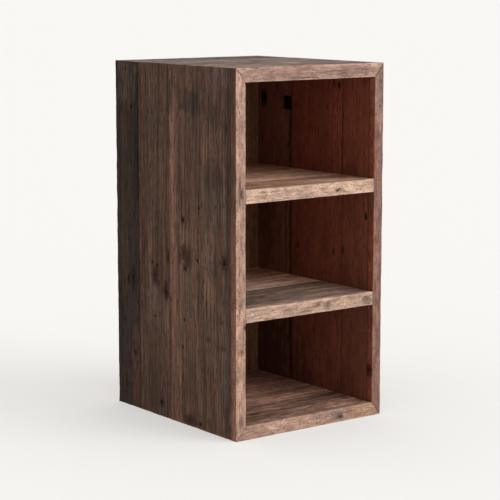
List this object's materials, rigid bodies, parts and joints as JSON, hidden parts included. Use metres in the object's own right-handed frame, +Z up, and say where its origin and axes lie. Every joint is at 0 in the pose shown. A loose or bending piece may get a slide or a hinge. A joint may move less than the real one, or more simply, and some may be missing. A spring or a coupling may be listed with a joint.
{
  "type": "open bathroom vanity cabinet",
  "caption": "Tall open-fronted bathroom vanity cabinet of reclaimed boards, with mitred corners, solid front edging and fixed shelves.",
  "frame": {"origin": "on the floor, under the middle of the cabinet's width and depth", "axes": "+Z up, the open front faces -Y, +X to the right as one looks into the front"},
  "size_m": [0.4, 0.45, 0.78],
  "materials": {
    "side_timber": "matt, waxed",
    "top_timber": "matt, waxed",
    "shelf_timber": "matt, waxed",
    "back_timber": "matt, waxed",
    "edging_timber": "matt, waxed",
    "beech": "bare, turned",
    "plywood": "bare, sawn",
    "zinc_steel": "zinc plated"
  },
  "bodies": {
    "root": {"left_side_board_front": "side_timber", "left_side_board_middle": "side_timber", "left_side_board_rear": "side_timber", "right_side_board_front": "side_timber", "right_side_board_middle": "side_timber", "right_side_board_rear": "side_timber", "top_board_front": "top_timber", "bottom_board_front": "shelf_timber", "upper_shelf_board_front": "shelf_timber", "lower_shelf_board_front": "shelf_timber", "top_board_middle": "top_timber", "bottom_board_middle": "shelf_timber", "upper_shelf_board_middle": "shelf_timber", "lower_shelf_board_middle": "shelf_timber", "top_board_rear": "top_timber", "bottom_board_rear": "shelf_timber", "upper_shelf_board_rear": "shelf_timber", "lower_shelf_board_rear": "shelf_timber", "back_board_1": "back_timber", "back_board_2": "back_timber", "back_board_3": "back_timber", "back_board_4": "back_timber", "edging_left": "edging_timber", "edging_right": "edging_timber", "edging_top": "edging_timber", "edging_bottom": "edging_timber", "upper_shelf_edging": "edging_timber", "upper_shelf_dowels": "beech", "upper_shelf_screws": "zinc_steel", "lower_shelf_edging": "edging_timber", "lower_shelf_dowels": "beech", "lower_shelf_screws": "zinc_steel", "mitre_spline_top_left": "plywood", "mitre_spline_top_right": "plywood", "mitre_spline_bottom_left": "plywood", "mitre_spline_bottom_right": "plywood"}
  },
  "joints": []
}
